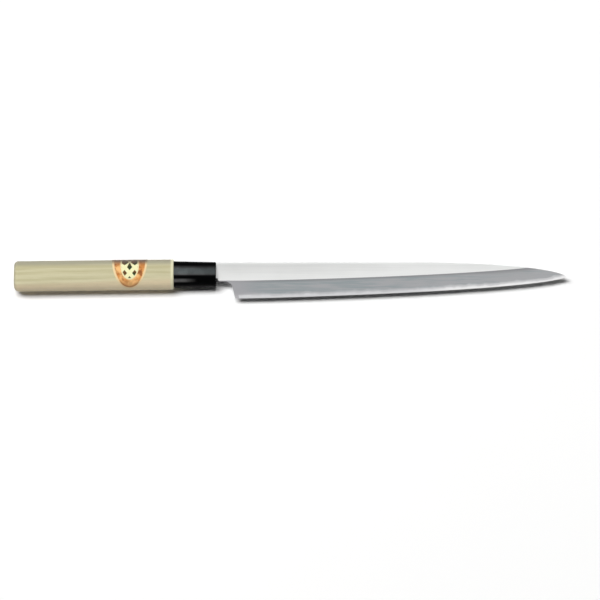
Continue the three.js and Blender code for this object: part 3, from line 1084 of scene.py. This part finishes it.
# %% Black horn
HORN_BLACK = (0.001, 0.001, 0.0011)
HORN_GREY = (0.004, 0.0042, 0.0045)
HORN_LAYERS = dict(Length=24.0, Width=1.6, Seed=4.0)
GREY_LAYER = (0.45, 0.75)  # values over which a layer goes from black to grey
POLISH = dict(Size=5.0, Seed=5.0)
CROWN_FOOT = (-0.6, 0.6)  # heights over which the crown's good polish starts
CROWN_TOP = (4.6, 7.6)  # and fades out
LOWER_FOOT = (-5.8, -4.6)  # the same for the lower band
LOWER_TOP = (-3.5, -2.3)
DULLED = (-25.0, -13.0, 1.0, 0.0)  # stretch over which a finger has dulled the lower band
UNEVEN = (0.35, 0.65, 1.0, 0.75)  # values of the patches over which the polish gets weaker
WORN_MOUTH = (SHOULDER_X, 0.0, 1.0, 0.62)  # stretch over which it gets weaker towards the mouth
HORN_ROUGHNESS = (0.35, 0.5)

horn, tree, place = new_material("black_horn")
grey = remap(tree, streaks(tree, place["Place"], HORN_LAYERS), *GREY_LAYER)
polish = patches(tree, place["Place"], POLISH)
crown = band(tree, place["Y"], CROWN_FOOT, CROWN_TOP)
lower = band(tree, place["Y"], LOWER_FOOT, LOWER_TOP)
lower = calc(tree, "MULTIPLY", lower, remap(tree, place["X"], *DULLED))
gloss = calc(tree, "MAXIMUM", crown, lower)
gloss = calc(tree, "MULTIPLY", gloss, remap(tree, polish, *UNEVEN))
gloss = calc(tree, "MULTIPLY", gloss, remap(tree, place["X"], *WORN_MOUTH))
dress(ferrule, horn, {
    "Base Color": layers(tree, HORN_BLACK, (grey, HORN_GREY)),
    "Roughness": vary(tree, polish, HORN_ROUGHNESS),
    "Specular IOR Level": 0.01,
    "Coat Weight": gloss,
    "Coat IOR": 2.0,
    "Coat Roughness": 0.2,
})

# %% [markdown]
# ## Blade: marks that several finishes share
#
# Some marks on the blade cross from one finish to another, so each is a group. Black fire scale is left
# under the neck, where no stone reaches. A band along the back of the heel is painted light and shade: the
# tone of a rounded facet there, which the mesh does not have. That line leans, so the distance is measured
# along the blade from the line itself. How slowly the band fades out is the finish's own value.

# %% Fire scale and the heel's band of painted light and shade
SCALE_RISE = (0.75, 1.25, 1.0, 0.0)  # heights above the neck's underside over which the scale ends
SCALE_END = (NECK[0] - 1.5, NECK[0], 1.0, 0.0)  # stretch over which it ends towards the heel
HEEL_BAND = 2.6  # width of the painted band along the heel's back
HEEL_SHARE = 0.8  # how strongly the painted light and shade show

scale_group, given, end = new_group("fire_scale", dict(X="Float", Y="Float"), dict(Share="Float"))
under = remap(scale_group, calc(scale_group, "SUBTRACT", given["Y"], NECK[1]), *SCALE_RISE)
behind = remap(scale_group, given["X"], *SCALE_END)
fill(scale_group, end, {"Share": calc(scale_group, "MULTIPLY", under, behind)})

heel_sockets = dict(X="Float", Y="Float", Fade="Float")
# the band along the heel's back is painted light and shade
heel_group, given, end = new_group("heel_facet_shading", heel_sockets, dict(Share="Float"))
lean = (HEEL[0] - NECK[0]) / (NECK[1] - HEEL[1])
back_line = calc(heel_group, "MULTIPLY", calc(heel_group, "SUBTRACT", NECK[1], given["Y"]), lean)
from_back = calc(heel_group, "SUBTRACT", calc(heel_group, "SUBTRACT", given["X"], NECK[0]), back_line)
fade_end = calc(heel_group, "ADD", given["Fade"], HEEL_BAND)
fill(heel_group, end, {"Share": remap(heel_group, from_back, HEEL_BAND, fade_end, HEEL_SHARE, 0.0)})
print("the heel's back leans", round(lean, 2), "mm forward in each millimetre down")

# %% [markdown]
# The mist on the bevel ends along the weld, in a slow wave. Iron and steel both need the height above the
# weld plane for it, so a group gives it, and undoes the thinning towards the tip. The bare steel's tone
# gets brighter towards the tip. Fine scratches run along the whole blade: they are streaks that feed a
# bump.

# %% Weld, steel and scratches
WELD_PATCHES = dict(Size=9.0, Seed=8.0)
WELD_WANDER = 0.9  # how far the mist's end wanders up and down
STEEL_HEEL = (0.73, 0.735, 0.75)
STEEL_TIP = (0.97, 0.97, 0.97)
BRIGHTER = (140.0, 180.0)  # stretch of the blade over which the steel gets brighter
SCRATCH_LENGTH = 30.0
SCRATCH_DEPTH = 0.00002  # metres

weld_sockets = dict(Place="Vector", X="Float", Z="Float")
weld_group, given, end = new_group("weld_height", weld_sockets, dict(Height="Float", Wavy="Float"))
thinning = {"From Max": TIP[0], "To Min": 1.0, "To Max": TIP_THICKNESS / SPINE_THICKNESS}
thinned = add(weld_group, "MapRange", {"Value": given["X"], **thinning}).outputs[0]
height = calc(weld_group, "DIVIDE", calc(weld_group, "SUBTRACT", given["Z"], WELD_Z), thinned)
wander = swing(weld_group, patches(weld_group, given["Place"], WELD_PATCHES), WELD_WANDER)
fill(weld_group, end, {"Height": height, "Wavy": calc(weld_group, "ADD", height, wander)})

tone_group, given, end = new_group("steel_tone", dict(X="Float"), dict(Tone="Color"))
brighter = remap(tone_group, given["X"], *BRIGHTER)
fill(tone_group, end, {"Tone": layers(tone_group, STEEL_HEEL, (brighter, STEEL_TIP))})


def scratches(tree, where, width, seed, strength):
    """Fine scratches along the blade, as a normal."""
    height = streaks(tree, where, dict(Length=SCRATCH_LENGTH, Width=width, Seed=seed))
    return add(tree, "Bump", {"Strength": strength, "Distance": SCRATCH_DEPTH, "Height": height}).outputs[0]


print(len(bpy.data.node_groups), "node groups")

# %% [markdown]
# ## Satin iron
#
# The flat is rubbed along its length with fine stones until it is almost white. Painted shade darkens it
# from the shinogi towards the spine, a painted highlight brightens the spine's edge, and it is a little
# brighter towards the tip. Streaks along the blade and soft patches vary the brightness, and the streaks
# vary the roughness too. Scale is no metal, so where it lies the metallic value goes to nothing.

# %% Satin flat and spine
SATIN_LIGHT = (0.91, 0.912, 0.90)
SATIN_DARK = (0.695, 0.695, 0.685)
FIRE_SCALE = (0.018, 0.018, 0.02)
SATIN_STROKES = dict(Length=55.0, Width=0.9, Seed=6.0)
SATIN_HAZE = dict(Size=22.0, Seed=7.0)
STROKE_SWING = 0.5  # how much the strokes change the brightness
HAZE_SWING = 0.4  # and the patches
SPINE_SHADE = (-4.0, SPINE_HEIGHT, 0.0, 0.7)  # painted shade: heights over which the flat gets darker towards the spine
SPINE_EDGE_HIGHLIGHT = (7.5, 8.6, 1.0, 0.0)  # painted highlight: heights over which it turns bright along the spine's edge
PALER = (60.0, 150.0, 0.0, 0.38)  # stretch over which it gets paler towards the tip
SATIN_ROUGHNESS = (0.30, 0.38)
SATIN_SCRATCHES = dict(width=0.15, seed=18.0, strength=0.5)
SCALE_SHINE = 0.02

satin, tree, place = new_material("satin_iron")
strokes = streaks(tree, place["Place"], SATIN_STROKES)
haze = patches(tree, place["Place"], SATIN_HAZE)
# painted shade towards the spine and a painted highlight along its edge
spine_shade_and_highlight = calc(tree, "MULTIPLY", remap(tree, place["Y"], *SPINE_SHADE), remap(tree, place["Y"], *SPINE_EDGE_HIGHLIGHT))
uneven = calc(tree, "ADD", swing(tree, strokes, STROKE_SWING), swing(tree, haze, HAZE_SWING))
dark = calc(tree, "SUBTRACT", calc(tree, "ADD", spine_shade_and_highlight, uneven), remap(tree, place["X"], *PALER))
scale = use(tree, scale_group, X=place["X"], Y=place["Y"])["Share"]
dress(iron, satin, {
    "Base Color": layers(tree, SATIN_LIGHT, (dark, SATIN_DARK), (scale, FIRE_SCALE)),
    "Metallic": calc(tree, "SUBTRACT", 1.0, scale),
    "Roughness": vary(tree, strokes, SATIN_ROUGHNESS),
    "Specular IOR Level": SCALE_SHINE,
    "Normal": scratches(tree, place["Place"], **SATIN_SCRATCHES),
})

# %% [markdown]
# ## Misty bevel
#
# A soft stone leaves the iron of the bevel grey and cloudy, the kasumi. The clouds are drawn out along the
# blade and get lighter towards the tip, with finer strokes in them. Right under the shinogi a line stays
# darker, and it is wider by the tip. Towards the weld the mist thins out until the bright steel begins,
# and towards the heel's back it turns into the band of painted light and shade.

# %% Misty grey bevel
MIST = (0.47, 0.473, 0.485)
MIST_DARK = (0.358, 0.40, 0.415)
MIST_LINE = (0.30, 0.305, 0.315)
# painted light and shade of a rounded facet along the heel's back, which the mesh does not have
HEEL_FACET_SHADING = (0.47, 0.46, 0.48)
MIST_CLOUDS = dict(Length=34.0, Width=5.0, Seed=16.0)
MIST_STROKES = dict(Length=30.0, Width=1.0, Seed=9.0)
STROKE_SHARE = 1.6  # how much the strokes count beside the clouds
LIGHTER = (40.0, 230.0, -0.38, -0.08)  # stretch over which the mist gets lighter
MIST_TONE = (0.75, 1.25)  # values over which it goes from dark to light
IRON_RISE = SPINE_THICKNESS - CORE_THICKNESS  # the shinogi's height above the weld
LINE_FOOT = (170.0, 210.0, IRON_RISE - 0.45, IRON_RISE - 0.8)  # stretch over which the dark line widens
LINE_TOP = IRON_RISE - 0.1  # height at which the line is full
LINE_SHARE = 0.75  # how dark it gets
MIST_END = (0.0, 0.3, 0.35, 0.0)  # heights above the weld over which the steel shows through
MIST_FADE = 22.0  # how slowly the heel's painted light and shade fade out on the iron
MIST_ROUGHNESS = (0.38, 0.46)
MIST_SCRATCHES = dict(width=0.2, seed=19.0, strength=0.5)

mist, tree, place = new_material("misty_iron")
weld = use(tree, weld_group, Place=place["Place"], X=place["X"], Z=place["Z"])
clouds = streaks(tree, place["Place"], MIST_CLOUDS)
strokes = streaks(tree, place["Place"], MIST_STROKES)
tone = calc(tree, "ADD", clouds, calc(tree, "MULTIPLY", strokes, STROKE_SHARE))
tone = calc(tree, "ADD", tone, remap(tree, place["X"], *LIGHTER))
line_foot = remap(tree, place["X"], *LINE_FOOT)
colour = layers(
    tree,
    MIST_DARK,
    (remap(tree, tone, *MIST_TONE), MIST),
    (remap(tree, weld["Height"], line_foot, LINE_TOP, 0.0, LINE_SHARE), MIST_LINE),
    (remap(tree, weld["Wavy"], *MIST_END), use(tree, tone_group, X=place["X"])["Tone"]),
    (use(tree, heel_group, X=place["X"], Y=place["Y"], Fade=MIST_FADE)["Share"], HEEL_FACET_SHADING),
)
dress(iron, mist, {
    "Base Color": colour,
    "Metallic": 1.0,
    "Roughness": vary(tree, strokes, MIST_ROUGHNESS),
    "Normal": scratches(tree, place["Place"], **MIST_SCRATCHES),
})

# %% [markdown]
# ## Edge steel
#
# The hard steel takes a finer polish and stays bright along the edge and on the flat rim of the back. A
# last breath of mist lies on it along the weld. It carries the heel's band of painted light and shade, much
# narrower than on the iron, and the scale under the neck.

# %% Polished steel
STEEL_STROKES = dict(Length=40.0, Width=0.7, Seed=10.0)
STROKE_SHINE = (0.0, 0.15)  # how much the strokes lighten the steel
STEEL_CLEAR = (0.0, -0.36, 0.35, 1.0)  # heights below the weld over which the mist clears
STEEL_FADE = 0.7  # how slowly the heel's painted light and shade fade out on the steel
STEEL_ROUGHNESS = (0.28, 0.34)
STEEL_SCRATCHES = dict(width=0.12, seed=20.0, strength=0.3)

polished, tree, place = new_material("polished_steel")
strokes = streaks(tree, place["Place"], STEEL_STROKES)
weld = use(tree, weld_group, Place=place["Place"], X=place["X"], Z=place["Z"])
scale = use(tree, scale_group, X=place["X"], Y=place["Y"])["Share"]
colour = layers(
    tree,
    MIST,
    (remap(tree, weld["Wavy"], *STEEL_CLEAR), use(tree, tone_group, X=place["X"])["Tone"]),
    (vary(tree, strokes, STROKE_SHINE), SATIN_LIGHT),
    (use(tree, heel_group, X=place["X"], Y=place["Y"], Fade=STEEL_FADE)["Share"], HEEL_FACET_SHADING),
    (scale, FIRE_SCALE),
)
dress(steel, polished, {
    "Base Color": colour,
    "Metallic": calc(tree, "SUBTRACT", 1.0, scale),
    "Roughness": vary(tree, strokes, STEEL_ROUGHNESS),
    "Specular IOR Level": SCALE_SHINE,
    "Normal": scratches(tree, place["Place"], **STEEL_SCRATCHES),
})

# %% [markdown]
# Inside the hollow nobody polishes the steel, so the wheel's fine lines across the blade remain. They are
# the same streaks, on a place with x and y exchanged.

# %% Ground hollow
HOLLOW_LIGHT = (0.40, 0.41, 0.42)
HOLLOW_DARK = (0.28, 0.29, 0.30)
WHEEL_LINES = dict(Length=20.0, Width=0.8, Seed=11.0)
HOLLOW_HAZE = dict(Size=25.0, Seed=12.0)
HOLLOW_ROUGHNESS = (0.30, 0.42)
HOLLOW_SCRATCHES = dict(width=0.3, seed=21.0, strength=0.8)

ground, tree, place = new_material("ground_steel")
turned = add(tree, "CombineXYZ", {"X": place["Y"], "Y": place["X"], "Z": place["Z"]}).outputs[0]
lines = streaks(tree, turned, WHEEL_LINES)
haze = patches(tree, place["Place"], HOLLOW_HAZE)
dress(steel, ground, {
    "Base Color": layers(tree, HOLLOW_LIGHT, (average(tree, lines, haze), HOLLOW_DARK)),
    "Metallic": 1.0,
    "Roughness": vary(tree, lines, HOLLOW_ROUGHNESS),
    "Normal": scratches(tree, turned, **HOLLOW_SCRATCHES),
})

# %% [markdown]
# ## Printed paper
#
# The label is printed in orange, cream and dark green. The print here is a plain one of its own: a cream
# rim, a mottled orange band, and a cream field with small diamonds. Everything follows from the distance
# to the paper's edge. Seen from the side that edge is an ellipse, so a point's share of the way from the
# middle to the edge gives the distance along that ray. By the fold the band is darker, painted shade. It has
# golden patches of print, and lower down more gold as painted light where the paper faces down. At the
# lower end the rim is narrower and the band's outer part is painted shade.

# %% Printed label: rim and band
PRINT_ORANGE = (0.60, 0.24, 0.065)
PRINT_GOLD = (0.84, 0.48, 0.19)
PRINT_RUST = (0.26, 0.09, 0.03)
RIM = 1.5  # width of the cream rim
RIM_LOW = 0.7  # the rim's width at the lower end
LOW_END = (13.0, 18.5)  # depths below the fold over which the rim narrows and painted shade comes onto the outer part
OUTER_SHADE = (0.0, 2.4, 0.8, 0.0)  # painted shade: distances from the rim over which the dark outer part fades
MOTTLE = dict(Size=4.6, Seed=13.0)
RUSTY = (0.5, 0.7)  # values over which the mottle turns to rust
FOLD_BAND_SHADE = (1.5, 7.0, 0.6, 0.0)  # painted shade: depths over which the darker band by the fold fades
GOLD_PATCHES = dict(Size=5.5, Seed=14.0)
GOLDEN = (0.40, 0.58)  # values over which a patch turns golden
DOWNWARD_LIGHT_DEPTHS = (11.0, 19.0)  # painted light: depths over which gold gains on rust where the paper faces down
DOWNWARD_GOLD_LIGHT = 0.6  # gold gained there as painted light
DOWNWARD_RUST_LEFT = 0.35  # share of the rust left there, less rust being painted light
LEAST_SHARE = 0.01  # keeps the very middle from dividing by nothing

paper, tree, place = new_material("printed_paper")
along = calc(tree, "SUBTRACT", place["X"], LABEL_X)
down = calc(tree, "SUBTRACT", label_top, place["Y"])
ray = length(tree, along, down)
share = length(tree, calc(tree, "DIVIDE", along, LABEL_WIDTH / 2), calc(tree, "DIVIDE", down, LABEL_DROP))
to_edge = calc(tree, "DIVIDE", ray, calc(tree, "MAXIMUM", share, LEAST_SHARE))
inset = calc(tree, "SUBTRACT", to_edge, ray)
from_rim = calc(tree, "SUBTRACT", inset, remap(tree, down, *LOW_END, RIM, RIM_LOW))
# golden patches of print, and lower down more gold as painted light
gold_and_light = remap(tree, patches(tree, place["Place"], GOLD_PATCHES), *GOLDEN)
gold_and_light = calc(tree, "MAXIMUM", gold_and_light, remap(tree, down, *DOWNWARD_LIGHT_DEPTHS, 0.0, DOWNWARD_GOLD_LIGHT))
mottle = patches(tree, place["Place"], MOTTLE)
# rust mottle of the print, and the darker band by the fold as painted shade
rust_and_shade = calc(tree, "MAXIMUM", remap(tree, mottle, *RUSTY), remap(tree, down, *FOLD_BAND_SHADE))
rust_and_shade = calc(tree, "MULTIPLY", rust_and_shade, remap(tree, down, *DOWNWARD_LIGHT_DEPTHS, 1.0, DOWNWARD_RUST_LEFT))
# painted shade on the band's outer part at the lower end
outer_shade = calc(tree, "MULTIPLY", remap(tree, from_rim, *OUTER_SHADE), remap(tree, down, *LOW_END))
rust_and_shade = calc(tree, "MAXIMUM", rust_and_shade, outer_shade)
band_colour = layers(tree, PRINT_ORANGE, (gold_and_light, PRINT_GOLD), (rust_and_shade, PRINT_RUST))
print("the band uses", len(tree.nodes), "nodes")

# %% [markdown]
# The diamonds sit in staggered rows on the flat paper, so they read the UV map. Two slanting coordinates
# run back and forth, and the larger of the two says how far a place is from the nearest diamond's middle.
# By the fold the diamonds are larger, and the mottle decides which are green and which brown. Painted shade
# darkens the paper in the fold.

# %% Printed label: field and diamonds
PAPER_CREAM = (0.76, 0.59, 0.34)
FIELD_CREAM = (0.80, 0.78, 0.46)
PRINT_GREEN = (0.016, 0.032, 0.010)
PRINT_BROWN = (0.11, 0.05, 0.016)
FOLD_SHADE = (0.10, 0.075, 0.06)
BAND = 4.6  # width of the orange band
INNER = RIM + BAND  # distance from the paper's edge to the field
PRINT_SOFT = 0.2  # how soft a printed edge is
FIELD_EDGE = (INNER + 1.0, INNER + 1.4)  # distances over which diamonds may start
DIAMOND_PITCH = (3.7, 4.6)  # half the distance between diamonds, along and round the grip
TURN_BACK = 0.5  # where a slanting coordinate turns back, as a share of its step
DIAMOND_SIZE = (2.0, 5.5, 0.42, 0.26)  # depths over which the diamonds shrink, and their share of a step
DIAMOND_SOFT = 0.02
BROWN_INK = (0.44, 0.54)  # values over which the ink goes from green to brown
FOLD_SHADE_DEPTHS = (0.6, 4.2, 0.85, 0.0)  # painted shade: depths over which it fades
PAPER_ROUGHNESS = (0.5, 0.62)

inside = remap(tree, inset, INNER - PRINT_SOFT, INNER + PRINT_SOFT, 1.0, 0.0)
in_band = calc(tree, "MULTIPLY", remap(tree, from_rim, -PRINT_SOFT, PRINT_SOFT), inside)
flat_place = add(tree, "SeparateXYZ", {0: add(tree, "UVMap").outputs[0]}).outputs
steps = [
    swing(tree, flat_place[axis], PRINT_SIDE / (2 * pitch)) for axis, pitch in zip("XY", DIAMOND_PITCH)
]
slants = [calc(tree, operation, *steps) for operation in ("ADD", "SUBTRACT")]
nearest = calc(tree, "MAXIMUM", *(calc(tree, "PINGPONG", slant, TURN_BACK) for slant in slants))
outside = calc(tree, "SUBTRACT", nearest, remap(tree, down, *DIAMOND_SIZE))
diamond = remap(tree, outside, -DIAMOND_SOFT, DIAMOND_SOFT, 1.0, 0.0)
diamond = calc(tree, "MULTIPLY", diamond, remap(tree, inset, *FIELD_EDGE))
ink = layers(tree, PRINT_GREEN, (remap(tree, mottle, *BROWN_INK), PRINT_BROWN))
# the darker fold is painted shade
colour = layers(
    tree,
    PAPER_CREAM,
    (remap(tree, inset, INNER - PRINT_SOFT, FIELD_EDGE[1]), FIELD_CREAM),
    (in_band, band_colour),
    (diamond, ink),
    (remap(tree, down, *FOLD_SHADE_DEPTHS), FOLD_SHADE),
)
dress(label, paper, {
    "Base Color": colour,
    "Roughness": vary(tree, mottle, PAPER_ROUGHNESS),
    "Specular IOR Level": 0.35,
})

# %% [markdown]
# ## Floor
#
# The knife lies on white paper, which is a large plane with the faintest of soft patches. It has no shine,
# so that it stays white from every side. It only sets the stage, and is not part of the knife.

# %% White floor
FLOOR_WHITE = (0.97, 0.97, 0.966)
FLOOR_SHADE = (0.96, 0.96, 0.957)
FLOOR_PATCHES = dict(Size=60.0, Seed=15.0)
FLOOR_SIDE = 6  # metres

bpy.ops.object.select_all(action="DESELECT")
bpy.ops.mesh.primitive_plane_add(size=FLOOR_SIDE)
floor = bpy.context.object
floor.name = "floor"
white, tree, place = new_material("white_ground")
cloudy = patches(tree, place["Place"], FLOOR_PATCHES)
dress(floor, white, {
    "Base Color": layers(tree, FLOOR_WHITE, (cloudy, FLOOR_SHADE)),
    "Roughness": 0.9,
    "Specular IOR Level": 0.0,
})

# %% [markdown]
# ## Light
#
# A large soft lamp stands high at the upper left and throws the short dark shadow to the lower right. A
# weak one, low in front, lifts the underside of the wood. Reflections see neither of them. They see two
# dim panels, one beyond the spine and one on the edge's side, that light nothing else.

# %% Lamps
KEY = dict(direction=(-0.26, 0.39, 1), distance=8, size=(5.2, 2.2), watts=787)
FRONT = dict(direction=(0, -0.98, 0.19), distance=3, size=(3, 0.8), watts=7.5)
SPINE_PANEL = dict(
    direction=(0, 0.669, 0.743), distance=2, size=(2.8, 0.92), watts=3.0, tint=(0.55, 0.93, 1.0)
)
EDGE_PANEL = dict(
    direction=(0, -0.866, 0.5), distance=2, size=(2.2, 0.42), watts=1.0, tint=(1.0, 0.95, 0.88)
)


def add_lamp(name, direction, distance, size, watts, tint=(1, 1, 1)):
    """An area lamp that looks at the knife from a direction, with its distance and size in metres."""
    towards = Vector(direction).normalized()
    long_side = Vector((1, 0, 0)) - towards * towards.x
    short_side = towards.cross(long_side)
    turn = Matrix((long_side.normalized(), short_side.normalized(), towards)).transposed()
    bpy.ops.object.light_add(type="AREA", location=towards * distance)
    lamp = bpy.context.object
    lamp.name = name
    lamp.rotation_euler = turn.to_euler()
    lamp.data.shape = "RECTANGLE"
    lamp.data.size, lamp.data.size_y = size
    lamp.data.energy = watts
    lamp.data.color = tint
    return lamp


for name, lamp in (("key", KEY), ("front", FRONT)):
    add_lamp(name, **lamp).visible_glossy = False
for name, panel in (("spine_panel", SPINE_PANEL), ("edge_panel", EDGE_PANEL)):
    add_lamp(name, **panel).visible_diffuse = False

# %% [markdown]
# The world does three things, told apart by the kind of ray. Reflections see a white sky that is brighter
# overhead than at the horizon, which gives steel its soft range of greys. The camera sees plain white
# beyond the floor. For everything else it is only a trace of fill, so that the shadow stays dark.

# %% World and view
HORIZON = 0.3  # what reflections see low on the sky
ZENITH = 0.92  # and straight above
FILL = 0.008  # light from all around

world = bpy.data.worlds.new("studio")
world.use_nodes = True
bpy.context.scene.world = world
tree = world.node_tree
rays = add(tree, "LightPath").outputs
height = add(tree, "SeparateXYZ", {0: add(tree, "TexCoord").outputs["Generated"]}).outputs["Z"]
sky = remap(tree, height, 0.0, 1.0, HORIZON, ZENITH)
mirror = calc(tree, "MAXIMUM", rays["Is Glossy Ray"], rays["Is Transmission Ray"])
level = calc(tree, "MAXIMUM", FILL, calc(tree, "MULTIPLY", mirror, sky))
level = calc(tree, "MAXIMUM", level, rays["Is Camera Ray"])
fill(tree, tree.nodes["Background"], {"Color": (1, 1, 1, 1), "Strength": level})
bpy.context.scene.view_settings.view_transform = "Standard"
print("sky from", HORIZON, "to", ZENITH)

# %% [markdown]
# ## Pieces in place of the CAD nodes
#
# Every piece stands still on the knife and takes the place of its CAD node, which is hidden. Each row also
# names that node's material slot.

# %% Pieces, CAD nodes and slots
for piece, node, slot in (
    (iron, "blade_iron", "iron"),
    (steel, "edge_steel", "edge_steel"),
    (ferrule, "ferrule", "horn"),
    (grip, "grip", "wood"),
    (label, "label", "paper"),
):
    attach(piece, "root")
    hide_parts(node)
